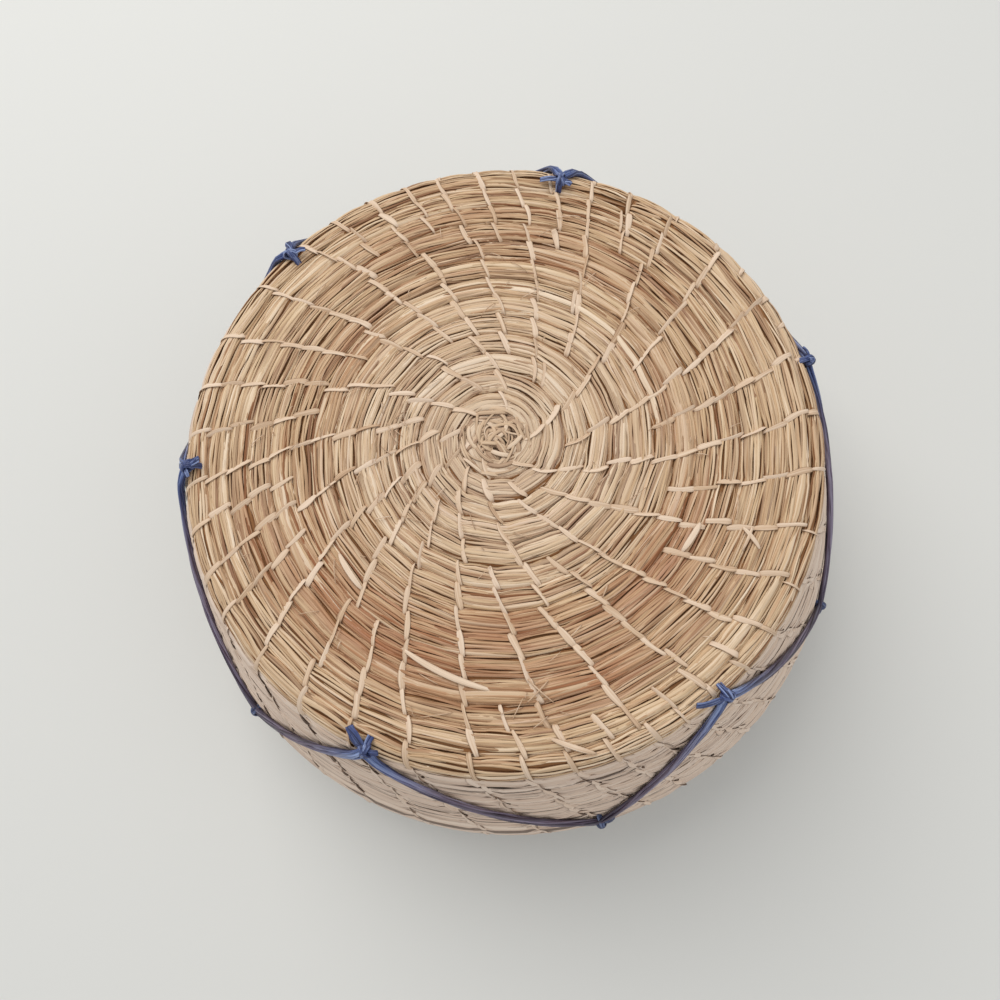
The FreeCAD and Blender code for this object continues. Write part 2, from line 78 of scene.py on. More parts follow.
class Coil:
    """Rows of one basket. climb is +1 where the wall goes up from the disc and -1 where down.

    The distance along the section grows by one pitch in each turn. Round the bend it grows a
    little more, so that neighbouring rows stay a pitch apart in a straight line. The disc of the
    base stands on the table and is worn flat, so its rows lie lower by that wear, and nothing is
    placed under the level of its foot.
    """

    def __init__(self, flat_rows, wall_rows, start_angle, climb, height):
        self.flat_rows = flat_rows
        self.rows = flat_rows + wall_rows
        self.start_angle = start_angle
        self.climb = climb
        self.height = height
        self.worn = FOOT_FLAT if climb > 0 else 0
        self.flat_end = flat_rows * PITCH
        self.bend_end = self.flat_end + EDGE_RADIUS * (math.pi / 2 - FLARE)
        fraction = np.linspace(0, 1, STEPS_PER_TURN + 1)[:-1]
        rows = [fraction * PITCH]
        for row in range(1, self.rows + 1):
            rows.append(self.next_row(rows[-1]))
        self.table_along = np.concatenate(rows)
        self.table_turn = (np.arange(self.rows + 1)[:, None] + fraction).ravel()
        radius = self.section(self.table_along)[0]
        step = np.diff(self.table_turn) * 2 * math.pi * (radius[1:] + radius[:-1]) / 2
        self.table_length = np.concatenate([[0], np.cumsum(step)])

    def section(self, along):
        """Radius, height and heading of the middle line at a distance along the section."""
        flat = np.minimum(along, self.flat_end)
        heading = np.clip((along - self.flat_end) / EDGE_RADIUS, 0, math.pi / 2 - FLARE)
        wall = np.maximum(along - self.bend_end, 0)
        radius = FIRST_ROW_RADIUS + flat + EDGE_RADIUS * np.sin(heading) + wall * np.cos(heading)
        rise = EDGE_RADIUS * (1 - np.cos(heading)) + wall * np.sin(heading)
        return radius, self.height + self.climb * rise, heading

    def next_row(self, along):
        """The places one pitch further in a straight line, found by halving."""
        radius, height, _ = self.section(along)
        low, high = along + PITCH, along + 1.5 * PITCH
        for _ in range(HALVINGS):
            middle = (low + high) / 2
            far_radius, far_height, _ = self.section(middle)
            short = np.hypot(far_radius - radius, far_height - height) < PITCH
            low, high = np.where(short, middle, low), np.where(short, high, middle)
        return low

    def along(self, turn):
        """Distance along the section, from the table of whole rows."""
        return np.interp(turn, self.table_turn, self.table_along)

    def radius(self, turn):
        return self.section(self.along(turn))[0]

    def length_at(self, turn):
        return np.interp(turn, self.table_turn, self.table_length)

    def turn_at(self, length):
        return np.interp(length, self.table_length, self.table_turn)

    def off(self, along, degrees, heading, across, lift):
        """A point off the section line: across goes on over the rows and lift out of the basket."""
        radius, height, _ = self.section(along)
        radius = radius + across * np.cos(heading) + lift * np.sin(heading)
        height = height + self.climb * (across * np.sin(heading) - lift * np.cos(heading))
        if self.worn:
            height = np.maximum(height - self.worn * (along < self.flat_end), FOOT_LEVEL)
        return at_angle(radius, degrees, height)

    def place(self, turn, across=0.0, lift=0.0):
        """A point of a row, by its own straight directions across and out."""
        along = self.along(turn)
        heading = self.section(along)[2]
        return self.off(along, self.start_angle + 360 * turn, heading, across, lift)

    def over(self, turn, across, lift):
        """A point over the rows, where across follows the section round the bend.

        It goes back by less than the first row's radius, so nothing crosses the middle.
        """
        along = self.along(turn) + np.maximum(across, -FURTHEST_BACK)
        heading = self.section(along)[2]
        return self.off(along, self.start_angle + 360 * turn, heading, 0.0, lift)

    def outward(self, turn, across=0.0):
        """The direction square to the rows, out of the basket."""
        heading = self.section(self.along(turn) + across)[2]
        return at_angle(np.sin(heading), self.start_angle + 360 * turn,
                        -self.climb * np.cos(heading))

    def onward(self, turn, across=0.0):
        """The direction across the rows, away from the middle of the disc."""
        heading = self.section(self.along(turn) + across)[2]
        return at_angle(np.cos(heading), self.start_angle + 360 * turn,
                        self.climb * np.sin(heading))

    def turn_of(self, row, degrees):
        """The turn in a given row at which the coil passes an angle from the front."""
        return row + (degrees - self.start_angle) % 360 / 360

    def latest_turn(self, degrees, last_turn):
        """The latest turn, up to a given one, at which the coil passes an angle."""
        return last_turn - (self.start_angle + 360 * last_turn - degrees) % 360 / 360


_, disc_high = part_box("lid_disc_coil")
DISC_TOP = disc_high[2] / MM
lid = Coil(13, 12, 140, -1, DISC_TOP - ROW_RADIUS)
base = Coil(12, 9, 90, 1, ROW_RADIUS)
print("lid's disc at", round(DISC_TOP, 1), "mm; coil lengths",
      round(lid.table_length[-1]), "and", round(base.table_length[-1]), "mm")

# %% [markdown]
# Nearly everything here is a strip: a strand, a stitch, a fibre of twine. A strip is a small
# closed outline carried along a path, so one helper turns arrays of outlines into one mesh. Each
# vertex also keeps two small sets of numbers for the materials: how its strip is tinted, and
# where it lies along and across the strip. The lower edges of a strand are tinted darker: this is
# painted shade, for the shadow between neighbouring strands.


# %% From arrays of outlines to a mesh
class Strips:
    """A growing set of strips, each an array of steps and outline points with its attributes."""

    def __init__(self):
        self.points, self.tints, self.fibres, self.quads, self.ends = [], [], [], [], []
        self.count = 0

    def add(self, rings, tint, fibre):
        """Adds strips. rings is an array of strips, steps, outline points and xyz, in mm.

        Neighbouring outlines are joined by quads, and both ends are closed.
        """
        strips, steps, sides, _ = rings.shape
        index = self.count + np.arange(strips * steps * sides).reshape(strips, steps, sides)
        here, ahead = index[:, :-1], index[:, 1:]
        quads = np.stack([here, np.roll(here, -1, 2), np.roll(ahead, -1, 2), ahead], -1)
        self.quads.append(quads.reshape(-1, 4))
        self.ends += list(np.concatenate([index[:, 0, ::-1], index[:, -1]]))
        self.points.append(rings.reshape(-1, 3))
        self.tints.append(np.broadcast_to(tint, rings.shape).reshape(-1, 3))
        self.fibres.append(np.broadcast_to(fibre, rings.shape).reshape(-1, 3))
        self.count += index.size
        return self

    def mesh(self, name):
        """All strips as one mesh, in metres, with the attributes tint and fibre."""
        quads = np.concatenate(self.quads)
        loops = np.concatenate([quads.ravel(), *self.ends])
        counts = np.concatenate([np.full(len(quads), 4), [len(end) for end in self.ends]])
        starts = np.concatenate([[0], np.cumsum(counts)[:-1]])
        mesh = bpy.data.meshes.new(name)
        mesh.vertices.add(self.count)
        points = np.concatenate(self.points) * MM
        mesh.vertices.foreach_set("co", points.astype(np.float32).ravel())
        mesh.loops.add(len(loops))
        mesh.loops.foreach_set("vertex_index", loops.astype(np.int32))
        mesh.polygons.add(len(counts))
        mesh.polygons.foreach_set("loop_start", starts.astype(np.int32))
        mesh.polygons.foreach_set("use_smooth", np.ones(len(counts), dtype=bool))
        for label, rows in (("tint", self.tints), ("fibre", self.fibres)):
            layer = mesh.attributes.new(label, "FLOAT_VECTOR", "POINT")
            layer.data.foreach_set("vector", np.concatenate(rows).astype(np.float32).ravel())
        mesh.update(calc_edges=True)
        return mesh


def new_object(name, data):
    """An object at the origin, linked to the scene."""
    item = bpy.data.objects.new(name, data)
    bpy.context.scene.collection.objects.link(item)
    return item


def dress(strips, name, body, slot, material, *nodes):
    """Makes a piece of strips that rides a body and stands for the given measured solids."""
    mesh = strips.mesh(name)
    mesh.materials.append(material)
    piece = new_object(name, mesh)
    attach(piece, body)
    if nodes:
        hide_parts(*nodes)
    sides = sum(2 * len(quads) for quads in strips.quads)
    ends = sum(len(end) - 2 for end in strips.ends)
    print(f"{name}: {len(strips.ends) // 2} strips, {sides + ends} triangles")


def unit(vectors):
    """Each vector divided by its length."""
    return vectors / np.maximum(np.linalg.norm(vectors, axis=-1, keepdims=True), 1e-9)


def carry(path, normal, outline, width, thickness):
    """An outline carried along paths: its first number goes sideways and its second outwards.

    path and normal are arrays of strips, steps and xyz. width and thickness are arrays of strips
    and steps, or one number for all. The sideways direction is square to the path and the normal.
    """
    forward = unit(np.gradient(path, axis=1))
    side = unit(np.cross(forward, normal))
    out = np.cross(side, forward)
    sideways = side[:, :, None] * (outline[:, 0] * np.asarray(width)[..., None])[..., None]
    outwards = out[:, :, None] * (outline[:, 1] * np.asarray(thickness)[..., None])[..., None]
    return path[:, :, None] + sideways + outwards


def fibre_places(distance, outline, width, seeds):
    """Where each outline point lies along and across its strip, and the strip's own number.

    The number moves the noise of a material to another place, so that no two strips look alike.
    """
    places = np.zeros((*width.shape, len(outline), 3))
    places[..., 0] = (distance + 0 * width)[..., None]
    places[..., 1] = outline[:, 0] * width[..., None]
    places[..., 2] = (seeds + 0 * width)[..., None]
    return places


def tapered(share, sharpness):
    """1 along the middle of a strip and 0 at both ends; a higher sharpness tapers later."""
    return 1 - np.abs(2 * share - 1) ** sharpness


STRAND_OUTLINE = np.array([(-0.5, 0.0), (-0.38, 0.75), (0.0, 1.0), (0.38, 0.75), (0.5, 0.0)])
# Painted shade: the two lower points of a strand's outline get a darker tint, for the shadow between
# strands.
PAINTED_EDGE_SHADE = np.array([1.0, 0, 0, 0, 1.0])[:, None] * [-0.68, 0, 0]
ROUND_OUTLINE = np.array([(math.cos(a), math.sin(a)) for a in np.arange(6) * -math.pi / 3]) / 2

# %% [markdown]
# Shader maths reads best as plain expressions. This small class wraps a socket, so that a sum or
# product of values adds the Math node that works it out. Everything else goes through one method
# of the material: a node's type, its settings and the values or links of its sockets.


# %% A material as expressions
class Value:
    """A number socket in a node tree, with the operators that the materials use."""

    def __init__(self, tree, socket):
        self.tree = tree
        self.socket = socket

    def math(self, operation, first, second):
        return self.tree.node("ShaderNodeMath", {"operation": operation}, (first, second))

    def __add__(self, other):
        return self.math("ADD", self, other)

    def __sub__(self, other):
        return self.math("SUBTRACT", self, other)

    def __rsub__(self, other):
        return self.math("SUBTRACT", other, self)

    def __mul__(self, other):
        return self.math("MULTIPLY", self, other)

    __radd__ = __add__
    __rmul__ = __mul__


class Tree:
    """A new material and its nodes."""

    def __init__(self, name):
        self.material = bpy.data.materials.new(name)
        self.material.use_nodes = True
        self.nodes = self.material.node_tree.nodes
        self.links = self.material.node_tree.links
        self.shader = self.nodes["Principled BSDF"]

    def put(self, socket, value):
        if isinstance(value, Value):
            self.links.new(value.socket, socket)
        else:
            socket.default_value = value

    def node(self, kind, settings, inputs, output=0):
        """Adds a node: its settings first, then its sockets by number or by name."""
        new = self.nodes.new(kind)
        for key, value in settings.items():
            if key == "stops":
                ramp = new.color_ramp.elements
                while len(ramp) < len(value):
                    ramp.new(0.5)
                for element, (position, shade) in zip(ramp, value):
                    element.position = position
                    element.color = shade
            else:
                setattr(new, key, value)
        pairs = inputs.items() if isinstance(inputs, dict) else enumerate(inputs)
        for key, value in pairs:
            self.put(new.inputs[key], value)
        return Value(self, new.outputs[output])

    def split(self, attribute):
        """The three numbers of a vertex attribute."""
        vector = self.node("ShaderNodeAttribute", {"attribute_name": attribute}, {}, "Vector")
        first = self.node("ShaderNodeSeparateXYZ", {}, [vector])
        return [Value(self, output) for output in first.socket.node.outputs]

    def mix(self, share, first, second):
        return self.node("ShaderNodeMix", {"data_type": "RGBA"}, {0: share, 6: first, 7: second}, 2)

    def noise(self, x, y, z, detail):
        place = self.node("ShaderNodeCombineXYZ", {}, (x, y, z))
        return self.node("ShaderNodeTexNoise", {}, {"Vector": place, "Scale": 1.0, "Detail": detail})

    def bump(self, height, strength, depth):
        return self.node("ShaderNodeBump", {},
                         {"Strength": strength, "Distance": depth, "Height": height}, "Normal")

    def set(self, **sockets):
        for name, value in sockets.items():
            self.put(self.shader.inputs[name.replace("_", " ")], value)
        return self.material


def colour(red, green, blue):
    """A display colour from 0 to 255, as linear light."""
    return tuple((value / 255) ** 2.2 for value in (red, green, blue)) + (1,)


# %% [markdown]
# Dry palm leaf has fine ribs along its length, a slight satin sheen, and a colour that runs from
# cream over straw to red-brown. The strip's own numbers choose the mixture, and noise stretched
# along the strip draws the ribs.


# %% Palm leaf
RIBS_PER_MM = 2.7
RIB_CONTRAST = 1.15
BLOTCH_CONTRAST = 0.55


def palm_material(name, dark, straw, cream, red, grey):
    """tint holds lightness, redness and greyness; fibre holds millimetres along and across."""
    tree = Tree(name)
    light, redness, greyness = tree.split("tint")
    along, across, seed = tree.split("fibre")
    ribs = tree.noise(along * 0.05, across * RIBS_PER_MM, seed, 3.0)
    blotch = tree.noise(along * 0.05, across * 0.15, seed + 7.0, 2.0)
    level = light + (ribs - 0.5) * RIB_CONTRAST + (blotch - 0.5) * BLOTCH_CONTRAST
    stops = [(0.0, dark), (0.5, straw), (1.0, cream)]
    pale = tree.node("ShaderNodeValToRGB", {"stops": stops}, [level])
    warm = tree.mix(redness + (blotch - 0.5) * redness, pale, red)
    final = tree.mix(greyness * 0.6, warm, grey)
    tree.set(Specular_IOR_Level=0.35)
    return tree.set(Base_Color=final, Roughness=0.58 + ribs * 0.2,
                    Normal=tree.bump(ribs, 0.4, 0.0002))


disc_palm = palm_material("disc palm", colour(116, 71, 36), colour(206, 174, 135),
                          colour(236, 212, 184), colour(166, 110, 76), colour(204, 182, 160))
wall_palm = palm_material("wall palm", colour(92, 70, 56), colour(218, 189, 164),
                          colour(238, 217, 196), colour(172, 126, 98), colour(217, 197, 181))
strip_palm = palm_material("stitching palm", colour(140, 100, 68), colour(200, 167, 134),
                           colour(234, 210, 184), colour(188, 136, 102), colour(210, 188, 168))
# The heart of the rows is coloured darker than the strands: painted shade, for the gaps between
# strands seen in shadow.
core_tree = Tree("shadowed palm")
core_pale, _, _ = core_tree.split("tint")
core_along, core_across, core_seed = core_tree.split("fibre")
core_ribs = core_tree.noise(core_along * 0.1, core_across * 2.0, core_seed, 2.0)
core_disc = core_tree.mix(core_ribs, colour(110, 64, 28), colour(166, 120, 78))
core_wall = core_tree.mix(core_ribs, colour(134, 112, 94), colour(194, 172, 150))
core_colour = core_tree.mix(core_pale, core_disc, core_wall)
core_palm = core_tree.set(Base_Color=core_colour, Roughness=0.9)

# %% [markdown]
# A stitch goes over one row and into the gap on each side, and the next row's stitch starts
# beside it. So the stitches make lines that lean on a little in every row. The lines spread as
# the rows grow, and a new line starts in the middle of a gap that has become too wide.

# %% Where the stitches go
FIRST_LINES = 6
MOST_LINES = 41
LINE_EVENING = 0.3
STITCH_SLIP = 0.7
MOST_STRAIGHTENING = 0.8


def line_spacing(radius):
    """How far apart the lines stand, in mm: closest in the middle, and even from 60 mm on."""
    return 8.5 + 5.2 * min(radius / 60, 1)


def stitch_drift(radius):
    """How far a stitch stands on from the one in the row before it, in mm."""
    return 2.0 + 2.2 * np.exp(-(radius / 28) ** 2)


def stitch_turns(coil, rng):
    """Turns of all stitches, each a little off its line.

    In each row, new lines halve the widest gaps, every line moves a share of the way to the
    middle between its neighbours, and all of them move on by the drift.
    """
    angles = np.arange(FIRST_LINES) * 360 / FIRST_LINES
    turns = []
    for row in range(coil.rows):
        radius = coil.radius(row + 0.5)
        wanted = min(MOST_LINES, int(2 * math.pi * radius / line_spacing(radius)))
        gaps = np.diff(np.append(angles, angles[0] + 360))
        widest = np.argsort(gaps)[::-1][:max(wanted - len(angles), 0)]
        angles = np.sort(np.concatenate([angles, angles[widest] + gaps[widest] / 2]))
        before, after = np.roll(angles, 1), np.roll(angles, -1)
        before[0] -= 360
        after[-1] += 360
        angles = angles + LINE_EVENING * ((before + after) / 2 - angles)
        angles = angles + np.degrees(stitch_drift(radius) / radius)
        slip = np.degrees(rng.normal(0, STITCH_SLIP, len(angles)) / radius)
        turns.append(coil.turn_of(row, angles + slip))
    return np.sort(np.concatenate(turns))


def stitch_distances(coil, turn, stitches):
    """Distances along the row from each place to the stitches before and after it, in mm."""
    right = np.clip(np.searchsorted(stitches, turn), 1, len(stitches) - 1)
    around = 2 * math.pi * coil.radius(turn)
    return np.abs(turn - stitches[right - 1]) * around, np.abs(stitches[right] - turn) * around


def straightening(coil, turn, stitches):
    """How far a row lies inside its circle, as it runs nearly straight between two stitches.

    Between a chord and its arc lies the product of the distances to both ends over the diameter.
    """
    before, after = stitch_distances(coil, turn, stitches)
    return np.minimum(before * after / (2 * coil.radius(turn)), MOST_STRAIGHTENING)


def stitch_number(turn, stitches):
    """Which gap between two stitches each place is in."""
    return np.searchsorted(stitches, turn)


lid_stitches = stitch_turns(lid, np.random.default_rng(7))
base_stitches = stitch_turns(base, np.random.default_rng(8))
print("stitches:", len(lid_stitches), "on the lid and", len(base_stitches), "on the base")

# %% [markdown]
# The bundles are soft, so neighbouring rows press each other flat-sided and only a shallow
# groove shows between them. The outside of a row is therefore a flattened oval, and strands are
# spaced evenly round it. Each stitch pulls its row in a little.

# %% The outside of a row
HALF_ROW = PITCH / 2
ROW_SIDE = HALF_ROW + 0.1
ROW_TOP = ROW_RADIUS - 0.5
WORN_TOP = 1.55
SQUARENESS = 3.2
CORE_DEPTH = 0.5
CORE_PROFILE = np.array([(-HALF_ROW, -0.6), (-2.3, -0.08), (0, 0), (2.3, -0.08), (HALF_ROW, -0.6)])
OVAL_END = math.radians(86)

oval = np.linspace(-1, 1, 401) * OVAL_END
oval_across = ROW_SIDE * np.sign(oval) * np.abs(np.sin(oval)) ** (2 / SQUARENESS)
oval_lift = np.cos(oval) ** (2 / SQUARENESS)
oval_step = np.hypot(np.diff(oval_across), np.diff(oval_lift) * ROW_TOP)
oval_share = np.concatenate([[0], np.cumsum(oval_step)])
oval_share = 2 * oval_share / oval_share[-1] - 1


def round_row(share, top):
    """Across, lift and lean of a row's outside, for a share from -1 at one side to 1.

    The outside is half of an oval whose sine and cosine are raised to 2 over its squareness, and
    equal shares are equal lengths on it.
    """
    across = np.interp(share, oval_share, oval_across)
    lift = top * np.interp(share, oval_share, oval_lift)
    lean_table = np.arctan2(-top * np.gradient(oval_lift), np.gradient(oval_across))
    return across, lift, np.interp(share, oval_share, lean_table)


def core_piece(coil, rows, outer_top, paleness):
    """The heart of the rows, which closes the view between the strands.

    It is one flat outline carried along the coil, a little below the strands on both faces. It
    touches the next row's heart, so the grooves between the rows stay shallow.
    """
    turn = np.linspace(*rows, int(STEPS_PER_TURN * (rows[1] - rows[0])))[None]
    outer = CORE_PROFILE + [0, outer_top - CORE_DEPTH]
    inner = -CORE_PROFILE - [0, ROW_TOP - CORE_DEPTH]
    outline = np.concatenate([outer, inner])
    rings = carry(coil.place(turn), coil.outward(turn), outline, 1.0, 1.0)
    places = fibre_places(coil.length_at(turn), outline, np.ones(turn.shape), 0)
    return Strips().add(rings, np.array([paleness, 0, 0]), places)


# %% [markdown]
# The strands are thin palm leaflets of finger length to hand length, each with its own width and
# colour, lying side by side along the row. Their ends dive under their neighbours. On the disc
# they are narrow; on the wall they are broad and smooth. Every row gets a full cover of strands,
# end to end in lanes, and then some spare ones on top.

# %% Strands along the rows
# The edge number of each kind sets how strong the painted shade on the lower edges of its strands
# is.
FINE = {"lanes": 12, "length": 74, "width": (0.7, 1.1), "layer": 0.3, "step": 2.6,
        "spare": 0.35, "broad": 0.1, "pinch": 0.35, "reach": 2.4,
        "edges": 1.0, "parts": 3}
BROAD = {"lanes": 6, "length": 95, "width": (1.4, 2.4), "layer": 0.35, "step": 2.8,
         "spare": 0.35, "broad": 0.06, "pinch": 0.65, "reach": 1.8,
         "edges": 1.1, "parts": 2}
INNER = {"step": 6.0, "parts": 1, "spare": 0.1}
LANE_OVERLAP = 0.85
LEAST_STAY = 0.12
PLACE_LIMIT = 0.96
DRIFT = (0.08, 0.22)
SWAY = 0.06
BUNCHING = 0.05
WAVE = 0.07
END_DIVE = 0.6


def lay_out(coil, rows, kind, rng):
    """Starts, ends and lanes of strands that together cover some rows.

    Each lane is filled end to end, in a measure in which every strand is one unit long. The unit
    shrinks towards the middle of the disc, where the strands are short.
    """
    first, last = coil.length_at(np.array(rows, float))
    table = np.linspace(first, last, 3000)
    local = np.minimum(kind["length"], 7 + 3 * coil.radius(coil.turn_at(table)))
    units = np.concatenate([[0], np.cumsum(np.diff(table) / local[1:])])
    per_lane = int(units[-1] / LANE_OVERLAP) + 2
    begin = np.arange(per_lane) * LANE_OVERLAP + rng.uniform(-1, 0, (kind["lanes"], 1))
    begin = (begin + rng.normal(0, 0.1, begin.shape)).ravel()
    lane = (np.arange(kind["lanes"]) + 0.5) / kind["lanes"] * 2 - 1
    lane = np.repeat(0.93 * lane, per_lane)
    spare = int(kind["spare"] * len(lane))
    begin = np.concatenate([begin, rng.uniform(-0.3, units[-1], spare)])
    lane = np.concatenate([lane, rng.uniform(-0.75, 0.75, spare)])
    layer = np.where(np.arange(len(lane)) < len(lane) - spare,
                     rng.uniform(0, 0.6, len(lane)), rng.uniform(0.5, 1, len(lane)))
    end = begin + rng.uniform(LANE_OVERLAP + 0.03, 1.25, len(begin))
    kept = (end > LEAST_STAY) & (begin < units[-1] - LEAST_STAY)
    starts = np.interp(np.clip(begin[kept], 0, units[-1]), units, table)
    ends = np.interp(np.clip(end[kept], 0, units[-1]), units, table)
    return starts[:, None], ends[:, None], lane[kept, None], layer[kept, None] * kind["layer"]


def strand_pieces(coil, rows, kind, side, stitches, tone, top, seed):
    """Strands over some rows, on the outside (side 1) or the inside (side -1) of the basket.

    A strand keeps its share of the way round the row, plus a straight drift, a slow sine and a
    bunching between stitches. A bell curve of the distance to the nearest stitch presses it down
    and narrows it there, and a high power of its length makes both its ends dive. The strands
    come in one or more sets of strips, to keep each piece small.
    """
    rng = np.random.default_rng(seed)
    start, end, lane, layer = lay_out(coil, rows, kind, rng)
    count = len(lane)
    share = np.linspace(0, 1, int(kind["length"] / kind["step"]))[None]
    length = start + (end - start) * share
    turn = coil.turn_at(length)
    drift = rng.normal(*DRIFT, (count, 1)) * (share - 0.5)
    sway = SWAY * np.sin(2 * math.pi * (length / 41 + rng.uniform(0, 1, (count, 1))))
    nearest = np.minimum(*stitch_distances(coil, turn, stitches))
    near = np.exp(-(nearest / kind["reach"]) ** 2)
    bunch = np.sin(2.4 * stitch_number(turn, stitches) + rng.uniform(0, 6.3, (count, 1)))
    place = lane + drift + sway + BUNCHING * bunch * (1 - near)
    across, lift, lean = round_row(np.clip(place, -PLACE_LIMIT, PLACE_LIMIT), top)
    dive = END_DIVE * np.abs(2 * share - 1) ** 9
    wave = WAVE * np.sin(2 * math.pi * (length / 23 + rng.uniform(0, 1, (count, 1))))
    lift = lift + layer + wave - dive - kind["pinch"] * near
    across = across * (1 - 0.09 * near) - straightening(coil, turn, stitches)
    normal = side * coil.outward(turn, across) * np.cos(lean)[..., None]
    normal = normal + coil.onward(turn, across) * np.sin(lean)[..., None]
    path = coil.over(turn, across, side * lift)
    broad = rng.random((count, 1)) < kind["broad"]
    wide = rng.uniform(*kind["width"], (count, 1)) * np.where(broad, 1.9, 1)
    wide = wide * (0.3 + 0.7 * tapered(share, 10)) * (1 - 0.14 * near)
    thick = rng.uniform(0.32, 0.46, (count, 1)) * (0.5 + 0.5 * tapered(share, 6))
    rings = carry(path, normal, STRAND_OUTLINE, wide, thick)
    tint = tone(coil, turn, rng, count) + 0.12 * broad[..., None] * [1.0, -1.0, 1.0]
    # Painted shade on the lower edges of each strand.
    tint = tint[:, :, None] + kind["edges"] * PAINTED_EDGE_SHADE
    places = fibre_places(length, STRAND_OUTLINE, wide, rng.uniform(0, 100, (count, 1)))
    parts = kind["parts"]
    return [Strips().add(rings[part::parts], tint[part::parts], places[part::parts])
            for part in range(parts)]


RIM_LANES = 7
RIM_LANE_STRANDS = 12
RIM_REACH = 62


def rim_piece(coil, seed):
    """Strands round the free side of the last row, which close the rim.

    Each lane stands at an angle round the row's middle line, up to the reach in degrees to both
    sides of straight across. Its strands follow each other along the row and slant a little.
    """
    rng = np.random.default_rng(seed)
    first, last = coil.length_at(np.array([coil.rows - 1.0, coil.rows]))
    count = RIM_LANES * RIM_LANE_STRANDS
    long = (last - first) / RIM_LANE_STRANDS
    late = rng.uniform(-0.4, 0.2, (RIM_LANES, RIM_LANE_STRANDS))
    start = first + long * (np.arange(RIM_LANE_STRANDS) + late)
    share = np.linspace(0, 1, 16)[None]
    start = np.clip(start.reshape(-1, 1), first, last - 20)
    length = np.minimum(start + 1.35 * long * share, last)
    turn = coil.turn_at(length)
    lane = np.repeat(np.linspace(-RIM_REACH, RIM_REACH, RIM_LANES), RIM_LANE_STRANDS)[:, None]
    way = np.radians(lane + rng.normal(0, 9, (count, 1)) * (share - 0.5))
    out = rng.uniform(0, 0.25, (count, 1)) - 0.5 * np.abs(2 * share - 1) ** 9
    across, lift = (ROW_SIDE - 0.3 + out) * np.cos(way), (ROW_TOP + 0.1 + out) * np.sin(way)
    path = coil.place(turn, across, lift)
    normal = coil.onward(turn) * np.cos(way)[..., None]
    normal = normal + coil.outward(turn) * np.sin(way)[..., None]
    wide = rng.uniform(0.9, 1.6, (count, 1)) * (0.3 + 0.7 * tapered(share, 10))
    rings = carry(path, normal, STRAND_OUTLINE, wide, 0.4)
    # The rim strands get a stronger painted shade on their lower edges.
    tint = wall_tone(coil, turn, rng, count)[:, :, None] + 1.3 * PAINTED_EDGE_SHADE
    places = fibre_places(length, STRAND_OUTLINE, wide, rng.uniform(0, 100, (count, 1)))
    return Strips().add(rings, tint, places)


RED_STRENGTH = 0.85
RED_PATCHES = [(38, 62, 24, 10, 0.6), (10, 73, 12, 8, 0.6), (318, 66, 32, 12, 0.75),
               (352, 57, 12, 8, 0.55), (226, 55, 14, 5, 0.4), (138, 66, 26, 7, 0.4),
               (95, 50, 22, 5, 0.4), (190, 74, 30, 6, 0.3), (282, 76, 14, 5, 0.4)]


def disc_tone(coil, turn, rng, count):
    """Lightness, redness and greyness of strands on the disc.

    The middle is greyish and the outer rows are yellower. The red-brown patches are given by
    their angle, radius, spread of each and strength.
    """
    radius = coil.radius(turn)
    angle = (coil.start_angle + 360 * turn) % 360
    red = rng.normal(0.1, 0.12, (count, 1)) + 0 * turn
    for middle, ring, spread, broad, strength in RED_PATCHES:
        apart = (angle - middle + 180) % 360 - 180
        here = np.exp(-(apart / spread) ** 2 - ((radius - ring) / broad) ** 2)
        red = red + RED_STRENGTH * strength * here * rng.uniform(0.5, 1.2, (count, 1))
    light = rng.normal(0.5, 0.17, (count, 1)) - 0.12 * red
    light = light - 0.08 * np.clip(radius / 20 - 2, 0, 1) + 0.01 * np.clip(radius - 80, 0, 10)
    grey = 0.7 * np.clip(1 - radius / 55, 0, 1) + rng.normal(0.08, 0.12, (count, 1))
    return np.clip(np.stack([light, red, grey], -1), 0, 1)


def wall_tone(coil, turn, rng, count):
    """The same of strands on a wall, which are paler, greyer and more even."""
    light = rng.normal(0.63, 0.12, (count, 1))
    red = rng.normal(0.03, 0.1, (count, 1))
    grey = rng.normal(0.6, 0.15, (count, 1))
    return np.clip(np.stack([light, red, grey], -1) + 0 * turn[..., None], 0, 1)


# %% [markdown]
# The stitches are split palm, paler than the strands. Each comes up beside the end of the one
# before it, goes flat over the row and dives again a little further on. It is widest in the
# middle and drawn tight at both ends.

# %% Stitches over the rows
STITCH_REACH = 4.0
STITCH_STEPS = 12
STITCH_THICKNESS = 0.15
STITCH_TWIST = 0.42


